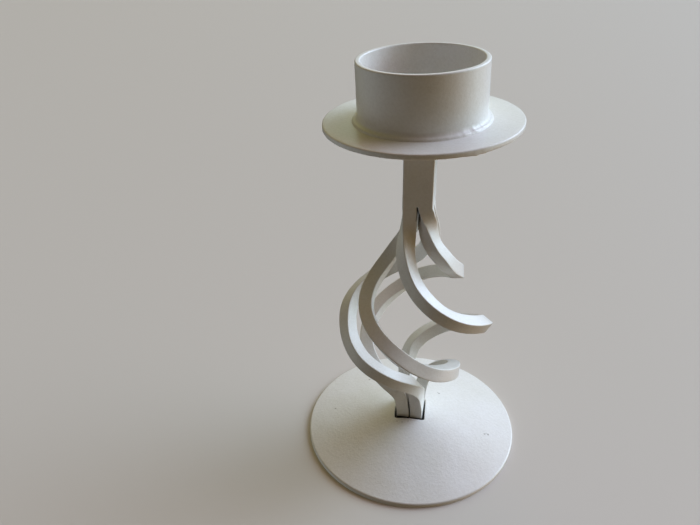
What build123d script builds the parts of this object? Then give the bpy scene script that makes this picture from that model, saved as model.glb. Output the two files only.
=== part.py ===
from build123d import *
import math
import os

# Spiral candle holder: a pressed round foot, four square bars wound into an
# open twist, a flat drip pan and a short cup for a tea light.  Everything is
# welded together.  Millimetres, +Z up, origin at the middle of the foot, on
# the surface it stands on.

# ---------------------------------------------------------------- dimensions
BASE_R = 44.0            # foot: outer radius
BASE_LAND = 1.2          # foot: width of the flat land it stands on
BASE_RIM_H = 1.78        # foot: height of the rim's top edge
BASE_SLOPE = 0.2276      # foot: rise of the cone per millimetre of radius
BASE_T = 2.05            # foot: height of the sheet, measured along Z
HOLE_SIDE = 12.5         # foot: square hole
HOLE_R = 1.0             # foot: hole corner radius
HOLE_X = -0.1            # foot: middle of the hole
HOLE_YAW = -2.0          # foot: hole turned about Z, degrees

BAR = 5.1                # bars: side of the square section, with its paint
BAR_CORNER = 0.5         # bars: corner radius
STEM_YAW = -6.0          # stem: turned about Z, degrees
STEM = 2 * BAR           # stem: four bars side by side
STEM_GAP = 0.45          # stem: the two right-hand bars stand off from the other two
GAP_LOW, GAP_HIGH = 88.0, 102.0   # stem: heights between which that offset runs out
STEM_X, STEM_Y = 0.2, -0.4   # stem: its axis, a little off the middle of the foot
H = BAR / math.sqrt(2)   # stem: distance of a bar's axis from the stem's axis
H_LOW = H + 0.29         # bars at the foot: the same distance, 0.4 mm apart
STEM_LOW = BAR + math.sqrt(2) * H_LOW   # bars at the foot: outer size of the four
Z_BAR_BOTTOM = 4.6       # bars: lower end, under the foot's sheet
Z_TWIST_LOW = 9.0        # twist: lower end, bars straight below it
Z_TWIST_HIGH = 109.0     # twist: upper end, bars straight above it
TURN = 270.0             # twist: turn of each bar from top to bottom, degrees
SECTIONS = 52            # twist: sections along each bar

PAN_R = 33.2             # drip pan: radius
PAN_X = 0.35             # drip pan: its middle, to the right of the stem's axis
PAN_TILT = -1.72         # drip pan and cup: lean about Y, right side up, degrees
PAN_T = 1.8              # drip pan: thickness
PAN_TOP = 139.4          # drip pan: height of its top face
PAN_EDGE = 0.5           # drip pan: edge radius
CUP_OR = 21.4            # cup: outer radius
CUP_IR = 19.7            # cup: inner radius
CUP_H = 19.5             # cup: height above the pan
CUP_X = 0.2              # cup: its middle, to the right of the stem's axis
CUP_EDGE = 0.45          # cup: rim radius

BEAD = 1.8               # weld bead round the cup's foot: width on the pan
SEAM_DEPTH = 0.36        # seam welds in the stem: depth of the fill
PAN_BEAD = 2.2           # weld under the pan: leg length
BASE_BEAD = 3.0          # weld under the foot: reach outside the stem

# Each bar's axis in the twist, from top to bottom: height, distance from the
# holder's axis, turn about it in degrees, and roll of the section about the
# bar in degrees.  A roll of 0 points one corner of the section outwards.
BAR_START = {"a": 225.0, "b": 315.0, "c": 45.0, "d": 135.0}
BAR_PATH = {
    "a": [
        (109.00, 3.61, 0.0, 0.0), (107.00, 3.68, 1.2, 2.6), (105.00, 3.72, 0.4, 4.2), (103.00, 3.79, -0.7, 7.8),
        (101.00, 3.93, -1.4, 12.7), (98.99, 4.17, -1.0, 18.3), (96.99, 4.56, 0.9, 24.1), (94.47, 5.40, 6.1, 30.1),
        (91.96, 6.55, 13.7, 34.1), (88.94, 8.05, 23.8, 35.5), (85.91, 9.55, 33.6, 32.3), (82.38, 11.43, 45.0, 26.1),
        (78.85, 13.90, 57.0, 22.2), (74.82, 17.29, 71.0, 22.4), (70.79, 20.59, 85.5, 23.5), (66.77, 23.44, 103.1, 16.7),
        (62.75, 25.82, 121.3, 12.8), (58.75, 26.91, 135.3, 10.6), (54.75, 26.62, 146.7, -0.5), (50.77, 25.67, 161.4, -20.6),
        (46.79, 23.85, 178.8, -32.7), (42.82, 20.59, 195.5, -33.9), (39.35, 17.02, 210.9, -33.3), (35.88, 13.55, 226.7, -33.3),
        (32.90, 11.27, 236.5, -25.7), (29.93, 9.40, 244.2, -14.8), (27.45, 8.13, 249.8, -5.4), (24.96, 7.10, 254.7, 2.5),
        (22.48, 6.24, 259.0, 7.9), (19.99, 5.56, 262.6, 9.4), (17.50, 5.01, 265.3, 7.9), (15.00, 4.50, 267.7, 5.3),
        (12.00, 4.10, 269.3, 1.6), (9.00, 3.90, 270.0, 0.0),
    ],
    "b": [
        (109.00, 3.61, 0.0, 0.0), (107.00, 3.91, 2.7, 4.3), (105.00, 3.98, 6.8, 11.6), (103.00, 4.01, 10.6, 22.7),
        (101.02, 4.12, 11.6, 32.2), (99.05, 4.49, 11.9, 40.4), (97.10, 5.17, 12.3, 47.9), (94.68, 6.21, 14.5, 54.5),
        (92.28, 7.62, 18.5, 57.4), (89.42, 9.43, 26.7, 54.9), (86.57, 11.02, 34.5, 47.4), (83.27, 12.74, 45.6, 38.7),
        (79.98, 14.76, 59.3, 32.7), (76.20, 17.28, 75.2, 28.3), (72.39, 20.55, 89.4, 25.5), (68.54, 23.40, 107.1, 16.9),
        (64.63, 25.83, 125.8, 13.0), (60.66, 27.00, 140.5, 11.2), (56.63, 26.80, 152.8, -0.3), (52.54, 25.80, 167.5, -18.2),
        (48.39, 24.11, 184.1, -33.0), (44.20, 21.90, 201.8, -39.7), (40.50, 19.61, 217.7, -39.4), (36.80, 17.13, 233.5, -34.6),
        (33.63, 14.92, 245.7, -26.9), (30.47, 12.38, 255.1, -12.4), (27.84, 10.29, 261.4, 1.8), (25.23, 8.47, 266.3, 14.1),
        (22.64, 7.10, 269.5, 21.5), (20.07, 6.24, 270.5, 20.2), (17.52, 5.58, 270.3, 16.8), (15.00, 4.97, 270.5, 13.4),
        (12.00, 4.40, 270.4, 7.3), (9.00, 3.90, 270.0, 0.0),
    ],
    "c": [
        (109.00, 3.61, 0.0, 0.0), (107.00, 4.00, 1.4, 2.4), (105.00, 4.51, 3.6, 6.2), (103.00, 5.02, 5.2, 10.6),
        (101.00, 5.50, 6.0, 15.3), (98.99, 6.01, 6.2, 20.0), (96.98, 6.58, 6.5, 24.6), (94.46, 7.31, 8.0, 29.9),
        (91.94, 8.02, 11.4, 34.1), (88.90, 8.87, 18.7, 37.2), (85.87, 9.90, 28.2, 38.0), (82.32, 11.54, 40.5, 35.9),
        (78.78, 13.86, 52.9, 30.1), (74.72, 17.14, 67.1, 26.7), (70.68, 20.37, 81.7, 24.1), (66.65, 23.14, 99.5, 15.1),
        (62.62, 25.47, 118.0, 10.8), (58.62, 26.52, 132.5, 9.7), (54.62, 26.22, 144.5, 0.9), (50.65, 25.32, 159.9, -16.2),
        (46.68, 23.58, 178.0, -26.7), (42.72, 20.42, 195.5, -30.1), (39.27, 17.07, 209.8, -34.5), (35.82, 13.83, 223.2, -31.5),
        (32.85, 11.36, 232.0, -26.2), (29.89, 9.21, 239.2, -17.3), (27.42, 7.74, 244.5, -10.1), (24.95, 6.59, 249.2, -4.9),
        (22.47, 5.74, 253.7, -2.4), (19.98, 5.11, 257.8, -1.1), (17.49, 4.65, 261.9, 0.0), (15.00, 4.30, 265.7, 0.5),
        (12.00, 4.03, 268.7, 0.1), (9.00, 3.90, 270.0, 0.0),
    ],
    "d": [
        (109.00, 3.61, 0.0, 0.0), (107.00, 3.78, 0.2, 1.4), (105.00, 3.87, -1.8, 9.4), (103.00, 4.04, -4.2, 21.8),
        (101.00, 4.24, -6.1, 36.5), (99.00, 4.45, -6.6, 51.3), (97.00, 4.78, -5.3, 63.3), (94.51, 5.54, -0.5, 70.3),
        (92.01, 6.64, 7.1, 69.0), (89.02, 8.09, 17.2, 62.5), (86.02, 9.55, 27.2, 54.1), (82.53, 11.41, 38.7, 43.1),
        (79.04, 13.85, 50.8, 33.7), (75.05, 17.22, 65.0, 27.3), (71.06, 20.48, 79.6, 22.4), (67.07, 23.28, 97.5, 11.3),
        (63.07, 25.60, 116.0, 5.2), (59.07, 26.62, 130.3, 3.1), (55.07, 26.27, 142.1, -5.3), (51.07, 25.26, 157.1, -20.5),
        (47.06, 22.75, 174.2, -31.0), (43.05, 19.82, 191.8, -33.8), (39.54, 17.22, 208.3, -34.9), (36.03, 14.69, 224.5, -34.6),
        (33.03, 12.66, 237.4, -32.9), (30.02, 9.60, 251.0, -27.0), (27.51, 7.90, 259.0, -20.0), (25.01, 6.70, 264.5, -13.5),
        (22.51, 5.90, 267.5, -8.5), (20.00, 5.30, 269.0, -5.0), (17.50, 4.80, 269.7, -2.5), (15.00, 4.40, 270.0, -1.0),
        (12.00, 4.07, 270.0, -0.3), (9.00, 3.90, 270.0, 0.0),
    ],
}

PAN_BOTTOM = PAN_TOP - PAN_T
LEAN = Pos(0, 0, PAN_BOTTOM) * Rot(0, PAN_TILT, 0) * Pos(0, 0, -PAN_BOTTOM)


# ------------------------------------------------------------------- splines
def spline(xs, ys):
    """Cubic spline through the points, level at both ends."""
    n = len(xs)
    h = [xs[i + 1] - xs[i] for i in range(n - 1)]
    a = [0.0] * n
    b = [2.0] * n
    c = [0.0] * n
    d = [0.0] * n
    b[0], c[0] = 2 * h[0], h[0]
    d[0] = 6 * ((ys[1] - ys[0]) / h[0])
    for i in range(1, n - 1):
        a[i], b[i], c[i] = h[i - 1], 2 * (h[i - 1] + h[i]), h[i]
        d[i] = 6 * ((ys[i + 1] - ys[i]) / h[i] - (ys[i] - ys[i - 1]) / h[i - 1])
    a[-1], b[-1] = h[-1], 2 * h[-1]
    d[-1] = -6 * ((ys[-1] - ys[-2]) / h[-1])
    for i in range(1, n):
        w = a[i] / b[i - 1]
        b[i] -= w * c[i - 1]
        d[i] -= w * d[i - 1]
    m = [0.0] * n
    m[-1] = d[-1] / b[-1]
    for i in range(n - 2, -1, -1):
        m[i] = (d[i] - c[i] * m[i + 1]) / b[i]

    def at(x):
        k = 0
        while k < n - 2 and x > xs[k + 1]:
            k += 1
        p, q, s = xs[k + 1] - x, x - xs[k], h[k]
        return (m[k] * p ** 3 / (6 * s) + m[k + 1] * q ** 3 / (6 * s)
                + (ys[k] / s - m[k] * s / 6) * p
                + (ys[k + 1] / s - m[k + 1] * s / 6) * q)

    return at


# --------------------------------------------------------------------- bars
def across(v):
    """Shift along the stem's own X axis."""
    return v * math.cos(math.radians(STEM_YAW)), v * math.sin(math.radians(STEM_YAW))


def bar_section(radius, turn_deg, z, tangent, roll_deg, aside=0.0):
    """Rounded square across a bar, with the roll given."""
    th = math.radians(turn_deg)
    er = Vector(math.cos(th), math.sin(th), 0)
    n = (er - tangent * er.dot(tangent)).normalized()
    e = tangent.cross(n)
    b = Vector(-e.X, -e.Y, -e.Z)          # the other cross axis, along the turn
    r = math.radians(roll_deg + 45)
    x = n * math.cos(r) + b * math.sin(r)
    dx, dy = across(aside)
    origin = (radius * math.cos(th) + dx, radius * math.sin(th) + dy, z)
    plane = Plane(origin=origin, x_dir=x, z_dir=tangent)
    return plane * RectangleRounded(BAR, BAR, BAR_CORNER)


def make_bar(key):
    start = BAR_START[key] + STEM_YAW
    path = BAR_PATH[key]
    u = [Z_TWIST_HIGH - row[0] for row in path]
    f_r = spline(u, [H] + [row[1] for row in path[1:-1]] + [H_LOW])
    f_t = spline(u, [0.0] + [row[2] for row in path[1:-1]] + [TURN])
    f_p = spline(u, [0.0] + [row[3] for row in path[1:-1]] + [0.0])
    length = Z_TWIST_HIGH - Z_TWIST_LOW

    gap = STEM_GAP if key in ("b", "c") else 0.0

    def aside(t):
        k = (Z_TWIST_HIGH - t - GAP_LOW) / (GAP_HIGH - GAP_LOW)
        k = min(max(k, 0.0), 1.0)
        return gap * k * k * (3 - 2 * k)

    def point(t):
        th = math.radians(start + f_t(t))
        r = f_r(t)
        dx, dy = across(aside(t))
        return Vector(r * math.cos(th) + dx, r * math.sin(th) + dy, Z_TWIST_HIGH - t)

    # stations evenly spread along the bar's own length
    fine = 1200
    pts = [point(length * i / fine) for i in range(fine + 1)]
    run = [0.0]
    for i in range(fine):
        run.append(run[-1] + (pts[i + 1] - pts[i]).length)
    sections = []
    for k in range(SECTIONS):
        want = run[-1] * k / (SECTIONS - 1)
        i = 0
        while i < fine - 1 and run[i + 1] < want:
            i += 1
        t = length * (i + (want - run[i]) / (run[i + 1] - run[i])) / fine
        t = min(max(t, 0.0), length)
        if k in (0, SECTIONS - 1):
            tangent = Vector(0, 0, -1)
            t = 0.0 if k == 0 else length
        else:
            tangent = (point(t + 0.02) - point(t - 0.02)).normalized()
        sections.append(bar_section(f_r(t), start + f_t(t), Z_TWIST_HIGH - t,
                                    tangent, f_p(t), aside(t)))
    twist = loft(sections)
    top = bar_section(H, start, Z_TWIST_HIGH, Vector(0, 0, 1), 0, gap)
    top = extrude(top, PAN_BOTTOM + 1 - Z_TWIST_HIGH) - above_stem()
    low = bar_section(H_LOW, start + TURN, Z_TWIST_LOW, Vector(0, 0, -1), 0)
    low = extrude(low, Z_TWIST_LOW - Z_BAR_BOTTOM)
    bar = top.fuse(twist, low)
    solids = bar.solids() if hasattr(bar, "solids") else [bar]
    print("spiral_bar_%s" % key, "length", round(run[-1], 1), "solids",
          len(solids), "volume", round(sum(s.volume for s in solids), 1))
    return solids[0] if len(solids) == 1 else Compound(children=list(solids))


def above_stem():
    """Everything above the drip pan's underside, near the stem."""
    return LEAN * Pos(0, 0, PAN_BOTTOM + 5) * Box(40, 40, 10)


def stem_outline(extra, corner):
    """Outline of the stem's four bars, wider by the extra given."""
    face = RectangleRounded(STEM + STEM_GAP + extra, STEM + extra, corner)
    return Rot(0, 0, STEM_YAW) * Pos(STEM_GAP / 2, 0) * face


def stem_prism(z0, z1, side=STEM, corner=BAR_CORNER):
    """Rounded square prism about the holder's axis, turned with the stem."""
    face = Plane.XY.offset(z0) * Rot(0, 0, STEM_YAW) * RectangleRounded(side, side, corner)
    return extrude(face, z1 - z0)


def stem_frustum(z0, side0, z1, side1):
    low = Plane.XY.offset(z0) * Rot(0, 0, STEM_YAW) * RectangleRounded(side0, side0, 0.8)
    high = Plane.XY.offset(z1) * Rot(0, 0, STEM_YAW) * RectangleRounded(side1, side1, 1.6)
    return loft([low, high])


def revolved(points):
    """Solid of revolution about Z from (radius, height) points."""
    wire = Polyline([(r, 0, z) for r, z in points], close=True)
    return revolve(make_face(wire.edges()), Axis.Z)


# ---------------------------------------------------------------- foot plate
def cone_top(r):
    return BASE_RIM_H + BASE_SLOPE * (BASE_R - r)


def make_base():
    land = BASE_R - BASE_LAND
    under = cone_top(land) - BASE_T          # the sheet's underside at the land
    plate = revolved([
        (land, 0.0), (BASE_R, 0.0), (BASE_R, BASE_RIM_H), (0.0, cone_top(0.0)),
        (0.0, cone_top(0.0) - BASE_T - under)])
    rim_top = [e for e in plate.edges().filter_by(GeomType.CIRCLE)
               if abs(e.radius - BASE_R) < 1e-3 and e.center().Z > 1.0]
    plate = fillet(rim_top, 0.8)
    rim_low = [e for e in plate.edges().filter_by(GeomType.CIRCLE)
               if abs(e.radius - BASE_R) < 1e-3 and e.center().Z < 0.01]
    plate = fillet(rim_low, 0.3)
    hole = Pos(HOLE_X, STEM_Y) * Rot(0, 0, HOLE_YAW) * RectangleRounded(HOLE_SIDE, HOLE_SIDE, HOLE_R)
    return plate - extrude(hole, 20)


def cone_under_block():
    """Everything below the foot's sheet, above the surface it stands on."""
    land = BASE_R - BASE_LAND
    under = cone_top(land) - BASE_T
    return revolved([(0.0, 0.0), (land, 0.0), (0.0, cone_top(0.0) - BASE_T - under)])


# ------------------------------------------------------------------ pan, cup
def make_pan():
    pan = Pos(0, 0, PAN_BOTTOM) * Cylinder(
        PAN_R, PAN_T, align=(Align.CENTER, Align.CENTER, Align.MIN))
    return LEAN * Pos(PAN_X, 0, 0) * fillet(pan.edges().filter_by(GeomType.CIRCLE), PAN_EDGE)


def make_cup():
    ring = Cylinder(CUP_OR, CUP_H, align=(Align.CENTER, Align.CENTER, Align.MIN))
    ring -= Cylinder(CUP_IR, CUP_H, align=(Align.CENTER, Align.CENTER, Align.MIN))
    ring = Pos(0, 0, PAN_TOP) * ring
    outer_rim = [e for e in ring.edges().filter_by(GeomType.CIRCLE)
                 if e.center().Z > PAN_TOP + 1 and abs(e.radius - CUP_OR) < 1e-3]
    return LEAN * Pos(CUP_X, 0, 0) * fillet(outer_rim, CUP_EDGE)


def make_cup_weld():
    """Low fillet round the cup's foot, with a faint ridge half way out."""
    profile = [(0.0, 0.0), (1.0, 0.0), (0.96, 0.06), (0.86, 0.26), (0.78, 0.36), (0.68, 0.43),
               (0.45, 0.52), (0.26, 0.65), (0.1, 0.88), (0.0, 1.25)]
    weld = revolved([(CUP_OR + BEAD * r, PAN_TOP + BEAD * z) for r, z in profile])
    return LEAN * Pos(CUP_X, 0, 0) * weld


# --------------------------------------------------------------------- welds
def make_stem_seams():
    """Four thin fills that close the grooves between the bars in the stem."""
    r = BAR_CORNER
    z0, z1 = Z_TWIST_HIGH, PAN_BOTTOM + 1
    fills = []
    g = STEM_GAP / 2
    # back, left, front, right: middle of the groove, half its gap, face of the stem
    for k, (mid, half, face_at) in enumerate((
            (g, g, STEM / 2), (0.0, 0.0, STEM / 2),
            (-g, g, STEM / 2), (0.0, 0.0, STEM / 2 + STEM_GAP))):
        groove = Pos(mid, face_at - SEAM_DEPTH / 2) * Rectangle(1.9 * r + 2 * half, SEAM_DEPTH)
        groove -= Pos(mid + r + half, face_at - r) * Circle(r)
        groove -= Pos(mid - r - half, face_at - r) * Circle(r)
        groove = [f for f in groove.faces()
                  if abs(f.center().X - mid) < 0.2 and f.area > 0.01]
        face = Plane.XY.offset(z0) * Rot(0, 0, STEM_YAW + 90 * k) * groove[0]
        fill = extrude(face, z1 - z0) - above_stem()
        fills.append(fill.solids()[0])
    return Compound(children=fills)


def make_pan_weld():
    z0 = PAN_BOTTOM - PAN_BEAD
    low = Plane.XY.offset(z0) * stem_outline(0.5, 0.8)
    high = Plane.XY.offset(PAN_BOTTOM) * stem_outline(2 * PAN_BEAD, 1.6)
    stem = extrude(Plane.XY.offset(z0 - 1) * stem_outline(0.0, BAR_CORNER), PAN_BEAD + 3)
    return LEAN * loft([low, high]) - stem


def make_base_weld():
    z0 = Z_BAR_BOTTOM + 0.3
    weld = stem_frustum(z0, STEM_LOW + 1.0, 9.0, STEM_LOW + 2 * BASE_BEAD + 2.0)
    weld = weld & (Pos(-STEM_X, -STEM_Y, 0) * cone_under_block())
    return weld - stem_prism(z0 - 1, 12, STEM_LOW)


# --------------------------------------------------------------------- write
parts = {
    "base_plate": make_base(),
    "drip_pan": make_pan(),
    "candle_cup": make_cup(),
    "cup_weld": make_cup_weld(),
    "stem_seam_weld": make_stem_seams(),
    "pan_weld": make_pan_weld(),
    "base_weld": make_base_weld(),
}
for key in BAR_PATH:
    parts["spiral_bar_%s" % key] = make_bar(key)

os.makedirs("parts", exist_ok=True)
for name, shape in parts.items():
    solids = list(shape.solids())
    if name != "base_plate":
        solids = [Pos(STEM_X, STEM_Y, 0) * s for s in solids]
    shape = solids[0] if len(solids) == 1 else Compound(children=solids)
    export_step(shape, os.path.join("parts", name + ".step"))
    box = shape.bounding_box()
    print(name, "solids", len(solids), "box", [round(v, 2) for v in (*box.min, *box.max)])
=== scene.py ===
import math

import bpy
import numpy as np
from mathutils import Matrix, Vector


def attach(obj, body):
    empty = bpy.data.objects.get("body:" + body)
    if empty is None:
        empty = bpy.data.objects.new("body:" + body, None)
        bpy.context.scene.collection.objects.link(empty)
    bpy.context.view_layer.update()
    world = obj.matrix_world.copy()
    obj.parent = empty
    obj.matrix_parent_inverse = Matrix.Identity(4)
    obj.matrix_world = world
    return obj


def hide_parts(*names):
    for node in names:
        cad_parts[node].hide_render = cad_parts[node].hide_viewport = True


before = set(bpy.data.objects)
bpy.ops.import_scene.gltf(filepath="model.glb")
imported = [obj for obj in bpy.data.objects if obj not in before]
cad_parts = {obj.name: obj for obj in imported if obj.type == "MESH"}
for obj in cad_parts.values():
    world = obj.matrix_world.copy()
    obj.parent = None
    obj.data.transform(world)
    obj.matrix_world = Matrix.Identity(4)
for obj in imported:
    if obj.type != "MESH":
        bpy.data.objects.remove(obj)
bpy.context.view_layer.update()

MM = 0.001

# ------------------------------------------------------------------ sizes, mm
BASE_R, BASE_RIM_H, BASE_SLOPE, BASE_T, BASE_LAND = 44.0, 1.78, 0.2276, 2.05, 1.2
HOLE_SIDE, HOLE_R, HOLE_X, HOLE_YAW = 12.5, 1.0, -0.1, -2.0
BAR, BAR_CORNER, STEM_YAW = 5.1, 0.36, -6.0
STEM = 2 * BAR
STEM_GAP, GAP_LOW, GAP_HIGH = 0.45, 88.0, 102.0
STEM_AT = np.array([0.2, -0.4, 0.0])
H = BAR / math.sqrt(2)
H_LOW = H + 0.29
STEM_LOW = BAR + math.sqrt(2) * H_LOW
Z_BAR_BOTTOM, Z_TWIST_LOW, Z_TWIST_HIGH, TURN = 4.6, 9.0, 109.0, 270.0
PAN_R, PAN_X, PAN_T, PAN_TOP, PAN_TILT = 33.2, 0.35, 1.8, 139.4, -1.72
PAN_BOTTOM = PAN_TOP - PAN_T
CUP_OR, CUP_IR, CUP_H, CUP_X = 21.4, 19.7, 19.5, 0.2

# Each bar's axis from top to bottom: height, distance from the holder's axis,
# turn about it and roll of the section, in degrees.
BAR_START = {"a": 225.0, "b": 315.0, "c": 45.0, "d": 135.0}
BAR_PATH = {
    "a": [
        (109.00, 3.61, 0.0, 0.0), (107.00, 3.68, 1.2, 2.6), (105.00, 3.72, 0.4, 4.2), (103.00, 3.79, -0.7, 7.8),
        (101.00, 3.93, -1.4, 12.7), (98.99, 4.17, -1.0, 18.3), (96.99, 4.56, 0.9, 24.1), (94.47, 5.40, 6.1, 30.1),
        (91.96, 6.55, 13.7, 34.1), (88.94, 8.05, 23.8, 35.5), (85.91, 9.55, 33.6, 32.3), (82.38, 11.43, 45.0, 26.1),
        (78.85, 13.90, 57.0, 22.2), (74.82, 17.29, 71.0, 22.4), (70.79, 20.59, 85.5, 23.5), (66.77, 23.44, 103.1, 16.7),
        (62.75, 25.82, 121.3, 12.8), (58.75, 26.91, 135.3, 10.6), (54.75, 26.62, 146.7, -0.5), (50.77, 25.67, 161.4, -20.6),
        (46.79, 23.85, 178.8, -32.7), (42.82, 20.59, 195.5, -33.9), (39.35, 17.02, 210.9, -33.3), (35.88, 13.55, 226.7, -33.3),
        (32.90, 11.27, 236.5, -25.7), (29.93, 9.40, 244.2, -14.8), (27.45, 8.13, 249.8, -5.4), (24.96, 7.10, 254.7, 2.5),
        (22.48, 6.24, 259.0, 7.9), (19.99, 5.56, 262.6, 9.4), (17.50, 5.01, 265.3, 7.9), (15.00, 4.50, 267.7, 5.3),
        (12.00, 4.10, 269.3, 1.6), (9.00, 3.90, 270.0, 0.0),
    ],
    "b": [
        (109.00, 3.61, 0.0, 0.0), (107.00, 3.91, 2.7, 4.3), (105.00, 3.98, 6.8, 11.6), (103.00, 4.01, 10.6, 22.7),
        (101.02, 4.12, 11.6, 32.2), (99.05, 4.49, 11.9, 40.4), (97.10, 5.17, 12.3, 47.9), (94.68, 6.21, 14.5, 54.5),
        (92.28, 7.62, 18.5, 57.4), (89.42, 9.43, 26.7, 54.9), (86.57, 11.02, 34.5, 47.4), (83.27, 12.74, 45.6, 38.7),
        (79.98, 14.76, 59.3, 32.7), (76.20, 17.28, 75.2, 28.3), (72.39, 20.55, 89.4, 25.5), (68.54, 23.40, 107.1, 16.9),
        (64.63, 25.83, 125.8, 13.0), (60.66, 27.00, 140.5, 11.2), (56.63, 26.80, 152.8, -0.3), (52.54, 25.80, 167.5, -18.2),
        (48.39, 24.11, 184.1, -33.0), (44.20, 21.90, 201.8, -39.7), (40.50, 19.61, 217.7, -39.4), (36.80, 17.13, 233.5, -34.6),
        (33.63, 14.92, 245.7, -26.9), (30.47, 12.38, 255.1, -12.4), (27.84, 10.29, 261.4, 1.8), (25.23, 8.47, 266.3, 14.1),
        (22.64, 7.10, 269.5, 21.5), (20.07, 6.24, 270.5, 20.2), (17.52, 5.58, 270.3, 16.8), (15.00, 4.97, 270.5, 13.4),
        (12.00, 4.40, 270.4, 7.3), (9.00, 3.90, 270.0, 0.0),
    ],
    "c": [
        (109.00, 3.61, 0.0, 0.0), (107.00, 4.00, 1.4, 2.4), (105.00, 4.51, 3.6, 6.2), (103.00, 5.02, 5.2, 10.6),
        (101.00, 5.50, 6.0, 15.3), (98.99, 6.01, 6.2, 20.0), (96.98, 6.58, 6.5, 24.6), (94.46, 7.31, 8.0, 29.9),
        (91.94, 8.02, 11.4, 34.1), (88.90, 8.87, 18.7, 37.2), (85.87, 9.90, 28.2, 38.0), (82.32, 11.54, 40.5, 35.9),
        (78.78, 13.86, 52.9, 30.1), (74.72, 17.14, 67.1, 26.7), (70.68, 20.37, 81.7, 24.1), (66.65, 23.14, 99.5, 15.1),
        (62.62, 25.47, 118.0, 10.8), (58.62, 26.52, 132.5, 9.7), (54.62, 26.22, 144.5, 0.9), (50.65, 25.32, 159.9, -16.2),
        (46.68, 23.58, 178.0, -26.7), (42.72, 20.42, 195.5, -30.1), (39.27, 17.07, 209.8, -34.5), (35.82, 13.83, 223.2, -31.5),
        (32.85, 11.36, 232.0, -26.2), (29.89, 9.21, 239.2, -17.3), (27.42, 7.74, 244.5, -10.1), (24.95, 6.59, 249.2, -4.9),
        (22.47, 5.74, 253.7, -2.4), (19.98, 5.11, 257.8, -1.1), (17.49, 4.65, 261.9, 0.0), (15.00, 4.30, 265.7, 0.5),
        (12.00, 4.03, 268.7, 0.1), (9.00, 3.90, 270.0, 0.0),
    ],
    "d": [
        (109.00, 3.61, 0.0, 0.0), (107.00, 3.78, 0.2, 1.4), (105.00, 3.87, -1.8, 9.4), (103.00, 4.04, -4.2, 21.8),
        (101.00, 4.24, -6.1, 36.5), (99.00, 4.45, -6.6, 51.3), (97.00, 4.78, -5.3, 63.3), (94.51, 5.54, -0.5, 70.3),
        (92.01, 6.64, 7.1, 69.0), (89.02, 8.09, 17.2, 62.5), (86.02, 9.55, 27.2, 54.1), (82.53, 11.41, 38.7, 43.1),
        (79.04, 13.85, 50.8, 33.7), (75.05, 17.22, 65.0, 27.3), (71.06, 20.48, 79.6, 22.4), (67.07, 23.28, 97.5, 11.3),
        (63.07, 25.60, 116.0, 5.2), (59.07, 26.62, 130.3, 3.1), (55.07, 26.27, 142.1, -5.3), (51.07, 25.26, 157.1, -20.5),
        (47.06, 22.75, 174.2, -31.0), (43.05, 19.82, 191.8, -33.8), (39.54, 17.22, 208.3, -34.9), (36.03, 14.69, 224.5, -34.6),
        (33.03, 12.66, 237.4, -32.9), (30.02, 9.60, 251.0, -27.0), (27.51, 7.90, 259.0, -20.0), (25.01, 6.70, 264.5, -13.5),
        (22.51, 5.90, 267.5, -8.5), (20.00, 5.30, 269.0, -5.0), (17.50, 4.80, 269.7, -2.5), (15.00, 4.40, 270.0, -1.0),
        (12.00, 4.07, 270.0, -0.3), (9.00, 3.90, 270.0, 0.0),
    ],
}


# ----------------------------------------------------------------- noise, mm
_rng = np.random.default_rng(20)
_perm = np.tile(_rng.permutation(256), 3)
_grad = _rng.normal(size=(256, 3))
_grad /= np.linalg.norm(_grad, axis=1)[:, None]


def noise3(p):
    """Smooth gradient noise, about -1 to 1, at the points p (n, 3)."""
    p = np.asarray(p, float)
    c = np.floor(p).astype(int)
    f = p - c
    u = f * f * f * (f * (f * 6 - 15) + 10)
    out = np.zeros(len(p))
    for dx in (0, 1):
        for dy in (0, 1):
            for dz in (0, 1):
                k = _perm[_perm[_perm[(c[:, 0] + dx) % 256] + (c[:, 1] + dy) % 256] + (c[:, 2] + dz) % 256]
                g = (_grad[k] * (f - np.array([dx, dy, dz]))).sum(1)
                w = (u[:, 0] if dx else 1 - u[:, 0]) * (u[:, 1] if dy else 1 - u[:, 1]) * (u[:, 2] if dz else 1 - u[:, 2])
                out += w * g
    return out * 1.6


def waviness(p, big=0.05, small=0.015):
    """Unevenness of hand-worked and painted metal, in mm, at points in mm."""
    p = np.asarray(p, float)
    return big * noise3(p / 13.0 + 3.1) + small * noise3(p / 3.6 + 7.7)


# -------------------------------------------------------------------- meshes
def make_object(name, verts, faces, material, at=STEM_AT):
    mesh = bpy.data.meshes.new(name)
    verts = (np.asarray(verts, float) + at) * MM
    mesh.from_pydata([tuple(v) for v in verts], [], [tuple(int(i) for i in f) for f in faces])
    mesh.validate()
    mesh.update()
    mesh.shade_smooth()
    mesh.set_sharp_from_angle(angle=math.radians(38))
    mesh.materials.append(material)
    ob = bpy.data.objects.new(name, mesh)
    bpy.context.scene.collection.objects.link(ob)
    return ob


def ring_faces(rows, cols, close_rows=False, offset=0):
    """Quads between rings of points; each ring is closed."""
    out = []
    last = rows if close_rows else rows - 1
    for i in range(last):
        a, b = offset + i * cols, offset + ((i + 1) % rows) * cols
        for j in range(cols):
            k = (j + 1) % cols
            out.append((a + j, a + k, b + k, b + j))
    return out


def piece(ob, slot, *nodes):
    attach(ob, "root")
    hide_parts(*nodes)
    return ob


def lean(v):
    """The pan's lean, about Y through the top of the stem."""
    v = np.array(v, float)
    a = math.radians(PAN_TILT)
    x, z = v[..., 0].copy(), v[..., 2] - PAN_BOTTOM
    v[..., 0] = x * math.cos(a) + z * math.sin(a)
    v[..., 2] = PAN_BOTTOM - x * math.sin(a) + z * math.cos(a)
    return v


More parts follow.
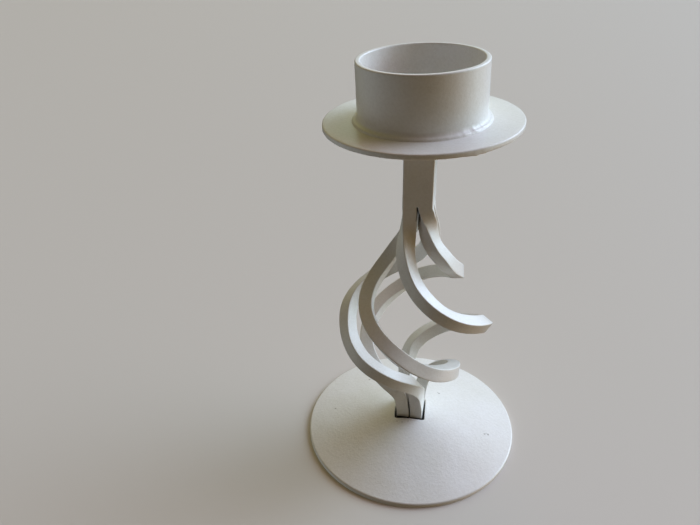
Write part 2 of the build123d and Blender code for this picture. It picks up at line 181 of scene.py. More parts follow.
def arc(cx, cy, r, a0, a1, n):
    return [(cx + r * math.cos(math.radians(a0 + (a1 - a0) * i / n)),
             cy + r * math.sin(math.radians(a0 + (a1 - a0) * i / n))) for i in range(n + 1)]


def lathe(profile, angles):
    """Closed profile of (r, z) points turned about Z; returns verts (rings per profile point) and normals."""
    pr = np.array(profile, float)
    ca, sa = np.cos(angles), np.sin(angles)
    v = np.stack([pr[:, 0][:, None] * ca, pr[:, 0][:, None] * sa, np.repeat(pr[:, 1][:, None], len(angles), 1)], -1)
    d = np.roll(pr, -1, 0) - np.roll(pr, 1, 0)
    nr, nz = d[:, 1], -d[:, 0]
    ln = np.hypot(nr, nz)
    nr, nz = nr / ln, nz / ln
    nrm = np.stack([nr[:, None] * ca, nr[:, None] * sa, np.repeat(nz[:, None], len(angles), 1)], -1)
    return v, nrm


def smooth(x, a, b):
    """0 below a, 1 above b, eased between."""
    t = np.clip((np.asarray(x, float) - a) / (b - a), 0, 1)
    return t * t * (3 - 2 * t)


# ----------------------------------------------------------------- materials
def paint(name, colour, peel=1.0, seed=0.0, shade_and_bare_below=None, hole=False, slit=False, nibs=()):
    """Satin white powder coat: orange peel, faint mottling and grime specks.
    Tight gaps are painted near black: painted shade from ambient occlusion, also standing for bare steel where the
    paint doesn't reach.
    shade_and_bare_below: height in mm under which the surface is painted near black, as painted shade and bare steel;
    hole: the same inside the foot's square hole; slit: the same in the slits at the stem's lower end; nibs: grains in
    the paint, (x, y, radius) in mm."""
    m = bpy.data.materials.new(name)
    m.use_nodes = True
    t = m.node_tree
    n, l = t.nodes, t.links
    n.clear()
    out = n.new("ShaderNodeOutputMaterial")
    b = n.new("ShaderNodeBsdfPrincipled")
    l.new(b.outputs["BSDF"], out.inputs["Surface"])
    co = n.new("ShaderNodeTexCoord")
    place = co.outputs["Object"]
    mp = n.new("ShaderNodeMapping")
    mp.inputs["Location"].default_value = (seed, seed * 0.7, seed * 1.3)
    l.new(place, mp.inputs["Vector"])

    def tex(scale, detail=2.0, rough=0.5):
        x = n.new("ShaderNodeTexNoise")
        x.inputs["Scale"].default_value = scale
        x.inputs["Detail"].default_value = detail
        x.inputs["Roughness"].default_value = rough
        l.new(mp.outputs["Vector"], x.inputs["Vector"])
        return x.outputs["Fac"]

    def ramp(src, lo, hi, a, b_):
        r = n.new("ShaderNodeMapRange")
        r.inputs["From Min"].default_value = lo
        r.inputs["From Max"].default_value = hi
        r.inputs["To Min"].default_value = a
        r.inputs["To Max"].default_value = b_
        l.new(src, r.inputs["Value"])
        return r.outputs["Result"]

    def math_(op, x, y):
        r = n.new("ShaderNodeMath")
        r.operation = op
        for i, v in enumerate((x, y)):
            if isinstance(v, float):
                r.inputs[i].default_value = v
            else:
                l.new(v, r.inputs[i])
        return r.outputs[0]

    def blend(fac, x, y, mode="MIX"):
        r = n.new("ShaderNodeMix")
        r.data_type = "RGBA"
        r.blend_type = mode
        l.new(fac, r.inputs[0])
        for i, v in ((6, x), (7, y)):
            if isinstance(v, tuple):
                r.inputs[i].default_value = (*v, 1)
            else:
                l.new(v, r.inputs[i])
        return r.outputs[2]

    # colour: broad mottling, fine grain
    broad = tex(60.0, 3.0, 0.55)
    grain = tex(1100.0, 3.0, 0.65)
    tint = (colour[0] * 0.965, colour[1] * 0.96, colour[2] * 0.935)
    c = blend(ramp(broad, 0.34, 0.66, 0.0, 1.0), tint, colour)
    c = blend(ramp(grain, 0.30, 0.62, 1.0, 0.0), c, (0.93, 0.925, 0.915), "MULTIPLY")
    # tiny dark specks, far apart
    vor = n.new("ShaderNodeTexVoronoi")
    vor.inputs["Scale"].default_value = 75.0
    l.new(mp.outputs["Vector"], vor.inputs["Vector"])
    pick = n.new("ShaderNodeSeparateColor")
    l.new(vor.outputs["Color"], pick.inputs[0])
    speck = math_("MULTIPLY", ramp(vor.outputs["Distance"], 0.010, 0.022, 1.0, 0.0),
                  ramp(pick.outputs[0], 0.93, 0.94, 0.0, 0.7))
    c = blend(speck, c, (0.16, 0.13, 0.10))
    sep = n.new("ShaderNodeSeparateXYZ")
    l.new(place, sep.inputs[0])
    plan = n.new("ShaderNodeCombineXYZ")
    l.new(sep.outputs[0], plan.inputs[0])
    l.new(sep.outputs[1], plan.inputs[1])
    for x, y, size in nibs:
        d = n.new("ShaderNodeVectorMath")
        d.operation = "DISTANCE"
        l.new(plan.outputs[0], d.inputs[0])
        d.inputs[1].default_value = (x * MM, y * MM, 0)
        c = blend(ramp(d.outputs["Value"], size * 0.5 * MM, size * MM, 0.6, 0.0), c, (0.22, 0.18, 0.14))
    # painted shade: tight gaps go near black by ambient occlusion, also standing for bare steel where the paint doesn't
    # reach
    ao = n.new("ShaderNodeAmbientOcclusion")
    ao.samples = 8
    ao.inputs["Distance"].default_value = 0.003
    shade_and_bare = ramp(ao.outputs["AO"], 0.14, 0.36, 1.0, 0.0)
    # painted shade and bare steel: near black below the given height
    if shade_and_bare_below is not None:
        shade_and_bare = math_("MAXIMUM", shade_and_bare, ramp(sep.outputs[2], (shade_and_bare_below - 0.25) * MM, shade_and_bare_below * MM, 1.0, 0.0))
    # painted shade down inside the foot's square hole, also standing for bare steel there
    if hole:
        r = n.new("ShaderNodeVectorMath")
        r.operation = "LENGTH"
        l.new(plan.outputs[0], r.inputs[0])
        top = math_("ADD", math_("MULTIPLY", r.outputs["Value"], -BASE_SLOPE), (BASE_RIM_H + BASE_SLOPE * BASE_R) * MM)
        depth = math_("SUBTRACT", top, sep.outputs[2])
        inside = math_("MULTIPLY", ramp(depth, 0.0003, 0.0006, 0.0, 1.0), ramp(r.outputs["Value"], 0.0092, 0.0098, 1.0, 0.0))
        shade_and_bare = math_("MAXIMUM", shade_and_bare, inside)
    # painted shade inside the slits at the stem's lower end, also standing for bare steel there
    if slit:
        yaw = math.radians(STEM_YAW)

        def off_middle(ax, middle):
            d = n.new("ShaderNodeVectorMath")
            d.operation = "DOT_PRODUCT"
            l.new(place, d.inputs[0])
            d.inputs[1].default_value = ax
            return math_("ABSOLUTE", math_("SUBTRACT", d.outputs["Value"], float(np.dot(STEM_AT, ax) + middle) * MM), 0.0)

        wide = off_middle((math.cos(yaw), math.sin(yaw), 0.0), STEM_GAP / 2)
        deep = off_middle((-math.sin(yaw), math.cos(yaw), 0.0), 0.0)
        inside = math_("MULTIPLY", ramp(wide, 0.0005, 0.0007, 1.0, 0.0), ramp(deep, 0.00490, 0.00500, 1.0, 0.0))
        inside = math_("MULTIPLY", inside, ramp(sep.outputs[2], 0.1030, 0.1048, 0.0, 1.0))
        inside = math_("MULTIPLY", inside, ramp(sep.outputs[2], 0.1089, 0.1090, 1.0, 0.0))
        shade_and_bare = math_("MAXIMUM", shade_and_bare, inside)
    # painted shade and bare steel: the masks above turn the colour near black
    c = blend(shade_and_bare, c, (0.020, 0.017, 0.014))
    l.new(c, b.inputs["Base Color"])
    # gloss
    l.new(ramp(broad, 0.3, 0.7, 0.30, 0.40), b.inputs["Roughness"])
    b.inputs["IOR"].default_value = 1.5
    # orange peel and grit
    b1 = n.new("ShaderNodeBump")
    b1.inputs["Strength"].default_value = 0.5 * peel
    b1.inputs["Distance"].default_value = 0.00010
    l.new(tex(800.0, 2.0, 0.5), b1.inputs["Height"])
    b2 = n.new("ShaderNodeBump")
    b2.inputs["Strength"].default_value = 0.5 * peel
    b2.inputs["Distance"].default_value = 0.00005
    l.new(tex(1900.0, 2.0, 0.6), b2.inputs["Height"])
    l.new(b1.outputs["Normal"], b2.inputs["Normal"])
    l.new(b2.outputs["Normal"], b.inputs["Normal"])
    return m


WHITE = (0.80, 0.785, 0.755)
foot_paint = paint("foot_paint", WHITE, 1.3, 0.11, hole=True, nibs=(
    (12.57, 12.06, 0.55), (12.0, 12.5, 0.35), (31.63, -7.5, 0.5), (33.13, -7.34, 0.6), (32.3, -6.9, 0.35),
    (-33.28, 2.45, 0.5), (-19.6, 21.89, 0.6), (-5.42, -8.25, 0.35), (-3.29, -8.77, 0.35), (-0.78, -8.22, 0.3)))
# the bars below the foot's top surface, down in the hole, are painted near black: painted shade and bare steel
bar_paint = paint("bar_paint", WHITE, 0.7, 0.37, shade_and_bare_below=9.95, slit=True)
pan_paint = paint("pan_paint", WHITE, 1.0, 0.53)
# weld lower than 50 mm, the one under the foot, is painted near black: painted shade and bare steel
weld_paint = paint("weld_paint", WHITE, 1.1, 0.71, shade_and_bare_below=50.0)


# --------------------------------------------------------------------- bars
def clamped(xs, ys):
    """Cubic spline through the points, level at both ends; returns a function."""
    xs, ys = np.array(xs, float), np.array(ys, float)
    n = len(xs)
    h = np.diff(xs)
    a = np.zeros((n, n))
    d = np.zeros(n)
    a[0, 0], a[0, 1], d[0] = 2 * h[0], h[0], 6 * (ys[1] - ys[0]) / h[0]
    a[-1, -1], a[-1, -2], d[-1] = 2 * h[-1], h[-1], -6 * (ys[-1] - ys[-2]) / h[-1]
    for i in range(1, n - 1):
        a[i, i - 1], a[i, i], a[i, i + 1] = h[i - 1], 2 * (h[i - 1] + h[i]), h[i]
        d[i] = 6 * ((ys[i + 1] - ys[i]) / h[i] - (ys[i] - ys[i - 1]) / h[i - 1])
    m = np.linalg.solve(a, d)

    def at(x):
        x = np.asarray(x, float)
        k = np.clip(np.searchsorted(xs, x) - 1, 0, n - 2)
        p, q, s = xs[k + 1] - x, x - xs[k], h[k]
        return (m[k] * p ** 3 + m[k + 1] * q ** 3) / (6 * s) + (ys[k] / s - m[k] * s / 6) * p + (ys[k + 1] / s - m[k + 1] * s / 6) * q

    return at


def section(side, corner, arc_n=6, side_n=5):
    """Rounded square, counter-clockwise, and its outward normals."""
    pts, nrm = [], []
    half = side / 2
    for k in range(4):
        a0 = math.radians(90 * k)
        c, s = math.cos(a0), math.sin(a0)
        row = [(half, -half + corner + (side - 2 * corner) * i / side_n, 1.0, 0.0) for i in range(side_n)]
        for i in range(arc_n):
            w = math.radians(90 * i / arc_n)
            row.append((half - corner + corner * math.cos(w), half - corner + corner * math.sin(w), math.cos(w), math.sin(w)))
        for x, y, u, v in row:
            pts.append((c * x - s * y, s * x + c * y))
            nrm.append((c * u - s * v, s * u + c * v))
    return np.array(pts), np.array(nrm)


def make_bar(key):
    path = BAR_PATH[key]
    start = BAR_START[key] + STEM_YAW
    yaw = math.radians(STEM_YAW)
    u = [Z_TWIST_HIGH - r[0] for r in path]
    f_r = clamped(u, [H] + [r[1] for r in path[1:-1]] + [H_LOW])
    f_t = clamped(u, [0.0] + [r[2] for r in path[1:-1]] + [TURN])
    f_p = clamped(u, [0.0] + [r[3] for r in path[1:-1]] + [0.0])
    length = Z_TWIST_HIGH - Z_TWIST_LOW

    def axis(t):
        tc = np.clip(t, 0, length)
        th = np.radians(start + f_t(tc))
        r = f_r(tc)
        z = Z_TWIST_HIGH - t
        aside = (STEM_GAP if key in ("b", "c") else 0.0) * smooth(z, GAP_LOW, GAP_HIGH)
        return np.stack([r * np.cos(th) + aside * math.cos(yaw), r * np.sin(th) + aside * math.sin(yaw), z], -1), th

    fine = np.linspace(-(PAN_BOTTOM - 0.2 - Z_TWIST_HIGH), length + Z_TWIST_LOW - Z_BAR_BOTTOM, 6000)
    run = np.concatenate([[0], np.cumsum(np.linalg.norm(np.diff(axis(fine)[0], axis=0), axis=1))])
    t = np.interp(np.linspace(0, run[-1], 420), run, fine)
    p, th = axis(t)
    tan = axis(t + 0.02)[0] - axis(t - 0.02)[0]
    tan /= np.linalg.norm(tan, axis=1)[:, None]
    er = np.stack([np.cos(th), np.sin(th), 0 * th], -1)
    nn = er - (er * tan).sum(1)[:, None] * tan
    nn /= np.linalg.norm(nn, axis=1)[:, None]
    bb = -np.cross(tan, nn)
    roll = np.radians(f_p(np.clip(t, 0, length)) + 45)
    xx = np.cos(roll)[:, None] * nn + np.sin(roll)[:, None] * bb
    yy = -np.sin(roll)[:, None] * nn + np.cos(roll)[:, None] * bb
    pts, nrm = section(BAR, BAR_CORNER)
    v = p[:, None, :] + pts[None, :, 0, None] * xx[:, None, :] + pts[None, :, 1, None] * yy[:, None, :]
    vn = nrm[None, :, 0, None] * xx[:, None, :] + nrm[None, :, 1, None] * yy[:, None, :]
    rows, cols = v.shape[:2]
    flat, flat_n = v.reshape(-1, 3), vn.reshape(-1, 3)
    flat = flat + flat_n * waviness(flat, 0.035, 0.012)[:, None]
    # (xx, yy, tangent) is left-handed here, so the quads are turned over
    faces = [tuple(reversed(f)) for f in ring_faces(rows, cols)]
    # closed ends
    verts = np.concatenate([flat, [p[0], p[-1]]])
    top, low = rows * cols, rows * cols + 1
    for j in range(cols):
        k = (j + 1) % cols
        faces.append((top, k, j)[::-1])
        faces.append((low, (rows - 1) * cols + j, (rows - 1) * cols + k)[::-1])
    ob = make_object("bar_%s" % key, verts, faces, bar_paint)
    return piece(ob, "bar_paint", "spiral_bar_%s" % key)


for bar_key in BAR_PATH:
    make_bar(bar_key)


# ---------------------------------------------------------------- foot plate
def cone_top(r):
    return BASE_RIM_H + BASE_SLOPE * (BASE_R - r)


def make_base():
    pts, _ = section(HOLE_SIDE, HOLE_R, arc_n=12, side_n=60)
    yaw = math.radians(HOLE_YAW)
    pts = pts @ np.array([[math.cos(yaw), math.sin(yaw)], [-math.sin(yaw), math.cos(yaw)]])
    pts = pts + np.array([HOLE_X, STEM_AT[1]])
    hole_r = np.hypot(pts[:, 0], pts[:, 1])
    ang = np.arctan2(pts[:, 1], pts[:, 0])
    land = BASE_R - BASE_LAND
    under = cone_top(land) - BASE_T

    def low(r):
        return cone_top(r) - BASE_T - under

    edge = 0.5
    rings = []
    # hole wall, from the underside up, then its rounded upper edge
    rings.append([(r, low(r)) for r in hole_r])
    rings.append([(r, low(r) + 0.5) for r in hole_r])
    rings.append([(r, cone_top(r) - 0.95 * edge) for r in hole_r])
    for w in (20, 45, 70, 90):
        c, s = math.cos(math.radians(w)), math.sin(math.radians(w))
        rings.append([(r + edge * (1 - c), cone_top(r + edge * (1 - c)) - edge * (1 - s)) for r in hole_r])
    # cone
    for i in range(1, 61):
        k = i / 60
        rings.append([((r + edge) * (1 - k) + (BASE_R - 0.75) * k,
                       cone_top((r + edge) * (1 - k) + (BASE_R - 0.75) * k)) for r in hole_r])
    # rim: rounded upper edge, side, lower edge, land
    top_a = math.degrees(math.atan(1 / BASE_SLOPE))
    for r, z in arc(BASE_R - 0.8, cone_top(BASE_R - 0.75) - 0.79, 0.8, top_a, 0, 8)[1:]:
        rings.append([(r, z)] * len(ang))
    for z in (0.8, 0.6, 0.35):
        rings.append([(BASE_R, z)] * len(ang))
    for r, z in arc(BASE_R - 0.3, 0.3, 0.3, 0, -90, 4)[1:]:
        rings.append([(r, z)] * len(ang))
    rings.append([(land, 0.0)] * len(ang))
    rings.append([(land - 0.3, low(land - 0.3))] * len(ang))
    for i in range(1, 24):
        k = i / 24
        rings.append([((land - 0.3) * (1 - k) + r * k, low((land - 0.3) * (1 - k) + r * k)) for r in hole_r])
    rz = np.array(rings)
    v = np.stack([rz[:, :, 0] * np.cos(ang), rz[:, :, 0] * np.sin(ang), rz[:, :, 1]], -1)
    rows, cols = v.shape[:2]
    flat = v.reshape(-1, 3)
    rr = np.hypot(flat[:, 0], flat[:, 1])
    # pressed sheet: gentle unevenness that fades out at the rim and the hole
    w = np.clip((BASE_R - 2.0 - rr) / 8, 0, 1) * np.clip((rr - 9) / 8, 0, 1)
    flat[:, 2] += w * (0.10 * noise3(np.stack([flat[:, 0] / 17, flat[:, 1] / 17, 0 * rr + 4.2], -1))
                       + 0.02 * noise3(np.stack([flat[:, 0] / 5, flat[:, 1] / 5, 0 * rr + 9.2], -1)))
    ob = make_object("foot", flat, ring_faces(rows, cols, close_rows=True), foot_paint, at=np.zeros(3))
    return piece(ob, "foot_paint", "base_plate")


make_base()

# ------------------------------------------------------------------ pan, cup
ANG = np.linspace(0, 2 * math.pi, 360, endpoint=False)


def around(a, at, width):
    """1 at the angle given, falling off over that many degrees."""
    d = (np.degrees(a) - at + 180) % 360 - 180
    return np.exp(-(d / width) ** 2)


def make_pan():
    e = 0.5
    n = 24
    flat_r = [(PAN_R - e) * i / n for i in range(1, n)]
    prof = [(r, PAN_BOTTOM) for r in flat_r]
    prof += arc(PAN_R - e, PAN_BOTTOM + e, e, -90, 0, 7)
    prof += arc(PAN_R - e, PAN_TOP - e, e, 0, 90, 7)
    prof += [(r, PAN_TOP) for r in reversed(flat_r)]
    v, nrm = lathe(prof, ANG)
    rows, cols = v.shape[:2]
    r = np.array(prof)[:, 0][:, None]
    z = np.array(prof)[:, 1][:, None]
    a = np.repeat(ANG[None, :], rows, 0)
    # sheared edge: slightly uneven, with a bead of paint under the right front
    edge = smooth(r, PAN_R - 2.0, PAN_R)
    rough = np.stack([np.cos(a) * 9, np.sin(a) * 9, 0 * a + z / 2], -1).reshape(-1, 3)
    v = v + nrm * (edge * 0.05 * noise3(rough).reshape(a.shape))[..., None]
    face = (1 - edge) * np.where(z > PAN_TOP - 0.01, 1.0, 0.0)
    dent = np.stack([v[..., 0] / 11, v[..., 1] / 11, 0 * a + 3.3], -1).reshape(-1, 3)
    v[..., 2] += face * 0.06 * noise3(dent).reshape(a.shape)
    low = np.clip((PAN_TOP - 0.5 - z) / 0.8, 0, 1) * edge
    drip = low * (around(a, -61.5, 1.7) + 0.4 * around(a, -65.5, 2.4) + 0.5 * around(a, -56.5, 3.2))
    v[..., 2] -= 0.34 * drip
    v[..., 0] += 0.22 * drip * np.cos(a)
    v[..., 1] += 0.22 * drip * np.sin(a)
    verts = np.concatenate([v.reshape(-1, 3), [[0, 0, PAN_BOTTOM], [0, 0, PAN_TOP]]])
    verts[:, 0] += PAN_X
    faces = ring_faces(rows, cols)
    for j in range(cols):
        k = (j + 1) % cols
        faces.append((rows * cols, k, j))
        faces.append((rows * cols + 1, (rows - 1) * cols + j, (rows - 1) * cols + k))
    ob = make_object("pan", lean(verts), faces, pan_paint)
    return piece(ob, "pan_paint", "drip_pan")


def make_cup():
    z0, z1 = PAN_TOP, PAN_TOP + CUP_H
    e_o, e_i = 0.5, 0.45
    prof = [(CUP_OR, z0 + (CUP_H - e_o) * i / 40) for i in range(40)]
    prof += arc(CUP_OR - e_o, z1 - e_o, e_o, 0, 90, 7)
    prof += arc(CUP_IR + e_i, z1 - e_i, e_i, 90, 180, 7)
    prof += [(CUP_IR, z1 - e_i - (CUP_H - e_i) * i / 40) for i in range(1, 41)]
    v, nrm = lathe(prof, ANG)
    rows, cols = v.shape[:2]
    flat, fn = v.reshape(-1, 3), nrm.reshape(-1, 3)
    d = waviness(flat, 0.05, 0.012)
    keep = np.clip((z1 - 0.02 - flat[:, 2]) / 1.2, 0, 1)
    flat = flat + fn * (np.minimum(d, 0.04) * keep)[:, None]
    flat[:, 2] = np.clip(flat[:, 2], z0, z1)
    flat[:, 0] += CUP_X
    ob = make_object("cup", lean(flat), ring_faces(rows, cols, close_rows=True), pan_paint)
    return piece(ob, "pan_paint", "candle_cup")


# weld round the cup's foot: distance from the cup's wall, height above the pan
BEAD = [(0.0, 2.30), (0.06, 1.95), (0.16, 1.62), (0.32, 1.32), (0.54, 1.08), (0.80, 0.92), (1.06, 0.84),
        (1.26, 0.76), (1.42, 0.62), (1.54, 0.44), (1.64, 0.24), (1.72, 0.08), (1.78, -0.04)]


def make_cup_weld():
    ang = np.linspace(0, 2 * math.pi, 900, endpoint=False)
    circ = np.stack([np.cos(ang), np.sin(ang)], -1)

    def wave(freq, seed):
        return noise3(np.concatenate([circ * freq, np.full((len(ang), 1), seed)], 1))

    lumpy = 0.15 + 0.85 * (around(ang, -45, 24) + 0.6 * around(ang, 60, 40) + 0.7 * around(ang, 170, 30))
    wide = 1 + 0.06 * wave(3.0, 5.1) + 0.07 * lumpy * wave(13.0, 7.9)
    tall = 1 + 0.07 * wave(3.0, 0.4) + 0.12 * lumpy * wave(12.0, 2.4)
    blobs = 0.10 * around(ang, -45, 22) * (wave(17.0, 6.2) + 0.6 * wave(31.0, 8.8))
    rows = []
    for i, (dr, h) in enumerate(BEAD):
        out = smooth(dr, 0.1, 1.2)
        fall = math.sin(math.pi * min(i / (len(BEAD) - 1.0), 1.0))
        r = CUP_OR + dr * (1 + (wide - 1) * out) + 0.35 * blobs * out
        z = PAN_TOP + np.where(h > 0, h * tall, h) + blobs * fall
        rows.append(np.stack([r * np.cos(ang), r * np.sin(ang), z], -1))
    # back of the bead, inside the cup wall and the pan
    for r, z in ((CUP_OR - 0.25, PAN_TOP - 0.04), (CUP_OR - 0.25, PAN_TOP + 2.2)):
        rows.append(np.stack([r * np.cos(ang), r * np.sin(ang), np.full(len(ang), z)], -1))
    v = np.array(rows)
    nr, nc = v.shape[:2]
    flat = v.reshape(-1, 3)
    flat[:, 0] += CUP_X
    faces = [tuple(reversed(f)) for f in ring_faces(nr, nc, close_rows=True)]
    ob = make_object("cup_bead", lean(flat), faces, weld_paint)
    return piece(ob, "weld_paint", "cup_weld")


make_pan()
make_cup()
make_cup_weld()


# --------------------------------------------------------------------- welds
def make_seams():
    """Ground seams, flush with the stem's faces, in the grooves between the bars."""
    verts, faces = [], []
    rows = 150
    zs = np.linspace(PAN_BOTTOM - 0.2, 108.85, rows)
    half, n = 1.25, 17
    xs = np.linspace(-half, half, n)
    for k in range(4):
        a = math.radians(STEM_YAW) + math.pi / 2 * k
        out = np.array([-math.sin(a), math.cos(a), 0.0])
        side = np.array([math.cos(a), math.sin(a), 0.0])
        base = sum(len(v) for v in verts)
        mid = (STEM_GAP / 2, 0.0, -STEM_GAP / 2, 0.0)[k]
        wall = STEM / 2 + (0.0, 0.0, 0.0, STEM_GAP)[k]
        for i, z in enumerate(zs):
            # the fill stands a hair proud in the middle and runs out under the
            # bars' surface at both sides; its lower end is rounded off
            end = math.sqrt(max(0.0, 1 - max(0.0, (109.25 - z) / 0.42) ** 2))
            lift = -0.012 + 0.022 * np.cos(xs / half * math.pi / 2) ** 2 - 0.30 * (1 - end)
            p = side * (xs[:, None] + mid) + out * (wall + 0 * xs[:, None]) + np.array([0, 0, z])
            p = p + out * (waviness(p, 0.035, 0.012) + lift)[:, None]
            back = [side * (x + mid) + out * (wall - 0.5) + np.array([0, 0, z]) for x in (half * 0.8, -half * 0.8)]
            verts.append(np.concatenate([p, back]))
        cols = n + 2
        faces += ring_faces(rows, cols, offset=base)
        faces.append(tuple(base + j for j in range(cols))[::-1])
        faces.append(tuple(base + (rows - 1) * cols + j for j in range(cols)))
    ob = make_object("stem_seams", np.concatenate(verts), faces, weld_paint)
    return piece(ob, "weld_paint", "stem_seam_weld")


def square_bead(name, node, side, z_side, z_plate, reach, seed, tilted=False):
    """Fillet weld round the square stem, against a plate; z_plate may depend on the radius."""
    pts, nrm = section(side, BAR_CORNER, arc_n=8, side_n=48)
    if tilted:
        pts[:, 0] += STEM_GAP * (pts[:, 0] > 0)
    yaw = math.radians(STEM_YAW)
    rot = np.array([[math.cos(yaw), math.sin(yaw)], [-math.sin(yaw), math.cos(yaw)]])
    pts, nrm = pts @ rot, nrm @ rot
    m = len(pts)
    pos = np.cumsum(np.linalg.norm(np.roll(pts, -1, 0) - pts, axis=1))
    ring = 2 * math.pi * pos / pos[-1]
    lump = noise3(np.stack([np.cos(ring) * 5, np.sin(ring) * 5, np.full(m, seed)], -1))
    rip = noise3(np.stack([np.cos(ring) * 14, np.sin(ring) * 14, np.full(m, seed + 3)], -1))
    w = reach * (1 + 0.12 * lump + 0.05 * rip)
    rows = []
    for k in np.linspace(0, 1, 10):
        c, q = math.cos(k * math.pi / 2) ** 0.85, math.sin(k * math.pi / 2) ** 0.85
        xy = pts + nrm * (w * q)[:, None]
        plate = z_plate(np.hypot(xy[:, 0], xy[:, 1]))
        z = plate + (z_side - plate) * c * (1 + 0.06 * lump)
        rows.append(np.column_stack([xy, z]))
    back = pts - nrm * 0.25
    rows.append(np.column_stack([back, z_plate(np.hypot(back[:, 0], back[:, 1]))]))
    v = np.array(rows)
    if tilted:
        v = lean(v)
    ob = make_object(name, v.reshape(-1, 3), ring_faces(v.shape[0], m, close_rows=True), weld_paint)
    return piece(ob, "weld_paint", node)


make_seams()
square_bead("pan_bead", "pan_weld", STEM, PAN_BOTTOM - 2.2, lambda r: np.full(np.shape(r), PAN_BOTTOM), 2.2, 1.5, tilted=True)
square_bead("base_bead", "base_weld", STEM_LOW, 5.0, lambda r: cone_top(np.asarray(r)) - BASE_T, 3.0, 8.5)

# --------------------------------------------------------------------- stage
floor_mesh = bpy.data.meshes.new("floor")
floor_mesh.from_pydata([(-6, -6, 0), (6, -6, 0), (6, 6, 0), (-6, 6, 0)], [], [(0, 1, 2, 3)])
floor = bpy.data.objects.new("floor", floor_mesh)
bpy.context.scene.collection.objects.link(floor)
floor_mat = bpy.data.materials.new("floor_pale")
floor_mat.use_nodes = True
fb = floor_mat.node_tree.nodes["Principled BSDF"]
fb.inputs["Base Color"].default_value = (0.62, 0.58, 0.52, 1)
fb.inputs["Roughness"].default_value = 0.7
floor_mesh.materials.append(floor_mat)
floor.visible_diffuse = False
floor.visible_glossy = False
floor.visible_shadow = False
# a near-black disc in the foot's hollow underside is painted shade and blocks the light from below: the foot stands
# close on the floor, so no light reaches there
shade_mesh = bpy.data.meshes.new("under_foot")
ring = [(0.0425 * math.cos(a), 0.0425 * math.sin(a), 0.00002) for a in np.linspace(0, 2 * math.pi, 96, endpoint=False)]
shade_mesh.from_pydata(ring, [], [tuple(range(96))])
shade = bpy.data.objects.new("under_foot", shade_mesh)
bpy.context.scene.collection.objects.link(shade)
shade_mat = bpy.data.materials.new("under_foot_shade_disc")
shade_mat.use_nodes = True
sb = shade_mat.node_tree.nodes["Principled BSDF"]
sb.inputs["Base Color"].default_value = (0.02, 0.017, 0.014, 1)
sb.inputs["Roughness"].default_value = 0.9
shade_mesh.materials.append(shade_mat)

# --------------------------------------------------------------- soft lights
# Soft light all round the object: lobes of light, each with its direction (turn
# about Z from +X, height above the horizon, degrees), tightness and colour.
LIGHT = [
    (-45.0, 5.0, 16.0, (0.26, 0.20, 0.00)),
    (5.0, 5.0, 16.0, (0.98, 2.19, 2.29)),
    (105.0, 5.0, 16.0, (0.00, 0.00, 0.14)),
    (5.0, 28.0, 16.0, (0.94, 0.12, 0.00)),
    (30.0, 28.0, 16.0, (6.51, 8.55, 10.72)),
    (80.0, 28.0, 16.0, (1.11, 1.48, 1.53)),
    (105.0, 28.0, 16.0, (0.36, 0.44, 0.14)),
    (30.0, 52.0, 16.0, (0.52, 0.00, 0.10)),
    (105.0, 52.0, 16.0, (0.56, 0.00, 0.00)),
    (135.0, 12.0, 7.0, (0.12, 0.09, 0.00)),
    (180.0, 12.0, 7.0, (0.00, 0.00, 0.17)),
    (135.0, 45.0, 7.0, (0.05, 0.20, 0.00)),
    (180.0, 45.0, 7.0, (0.32, 0.23, 0.07)),
    (0.0, -25.0, 7.0, (0.83, 0.32, 0.00)),
    (180.0, -25.0, 7.0, (0.67, 0.73, 0.70)),
    (240.0, -25.0, 7.0, (0.13, 0.11, 0.09)),
]
world = bpy.data.worlds.new("soft_light")
bpy.context.scene.world = world
world.use_nodes = True
wt = world.node_tree
wt.nodes.clear()
w_out = wt.nodes.new("ShaderNodeOutputWorld")
w_bg = wt.nodes.new("ShaderNodeBackground")
wt.links.new(w_bg.outputs[0], w_out.inputs[0])
w_co = wt.nodes.new("ShaderNodeTexCoord")
total = None
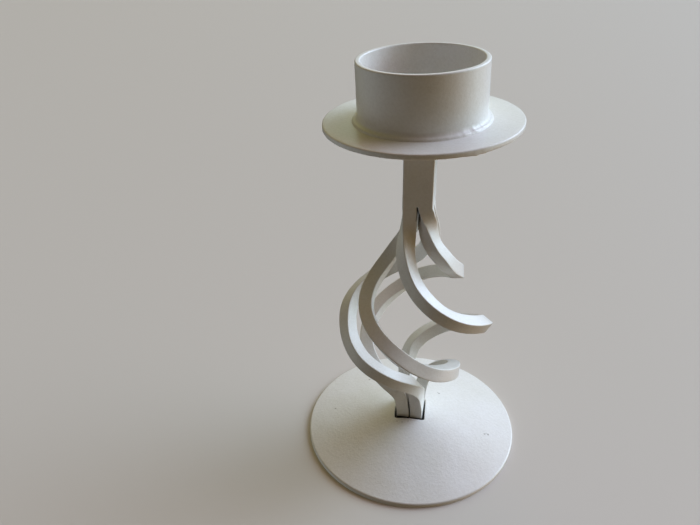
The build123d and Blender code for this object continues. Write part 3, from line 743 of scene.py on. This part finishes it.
for turn, height, tight, colour in LIGHT:
    turn, height = math.radians(turn), math.radians(height)
    d = Vector((math.cos(turn) * math.cos(height), math.sin(turn) * math.cos(height), math.sin(height)))
    dot = wt.nodes.new("ShaderNodeVectorMath")
    dot.operation = "DOT_PRODUCT"
    wt.links.new(w_co.outputs["Generated"], dot.inputs[0])
    dot.inputs[1].default_value = d
    sub = wt.nodes.new("ShaderNodeMath")
    sub.operation = "MULTIPLY_ADD"
    sub.inputs[1].default_value = tight
    sub.inputs[2].default_value = -tight
    wt.links.new(dot.outputs["Value"], sub.inputs[0])
    ex = wt.nodes.new("ShaderNodeMath")
    ex.operation = "EXPONENT"
    wt.links.new(sub.outputs[0], ex.inputs[0])
    sc_ = wt.nodes.new("ShaderNodeVectorMath")
    sc_.operation = "SCALE"
    sc_.inputs[0].default_value = colour
    wt.links.new(ex.outputs[0], sc_.inputs["Scale"])
    if total is None:
        total = sc_.outputs[0]
    else:
        add = wt.nodes.new("ShaderNodeVectorMath")
        add.operation = "ADD"
        wt.links.new(total, add.inputs[0])
        wt.links.new(sc_.outputs[0], add.inputs[1])
        total = add.outputs[0]
wt.links.new(total, w_bg.inputs[0])
bpy.context.scene.view_settings.view_transform = "Standard"

# -------------------------------------------------------------------- camera
yaw, pitch, roll = math.radians(6.89), math.radians(31.06), math.radians(-1.46)
fwd = Vector((-math.sin(yaw) * math.cos(pitch), math.cos(yaw) * math.cos(pitch), -math.sin(pitch)))
right = Vector((math.cos(yaw), math.sin(yaw), 0))
up = right.cross(fwd)
r2 = math.cos(roll) * right + math.sin(roll) * up
u2 = -math.sin(roll) * right + math.cos(roll) * up
cam_data = bpy.data.cameras.new("camera")
cam_data.sensor_width = 36.0
cam_data.lens = 640.0 / 700.0 * 36.0
cam_data.clip_start = 0.01
cam = bpy.data.objects.new("camera", cam_data)
bpy.context.scene.collection.objects.link(cam)
cam.matrix_world = Matrix((
    (r2.x, u2.x, -fwd.x, 0.0002),
    (r2.y, u2.y, -fwd.y, -0.2067),
    (r2.z, u2.z, -fwd.z, 0.2077),
    (0, 0, 0, 1)))
bpy.context.scene.camera = cam
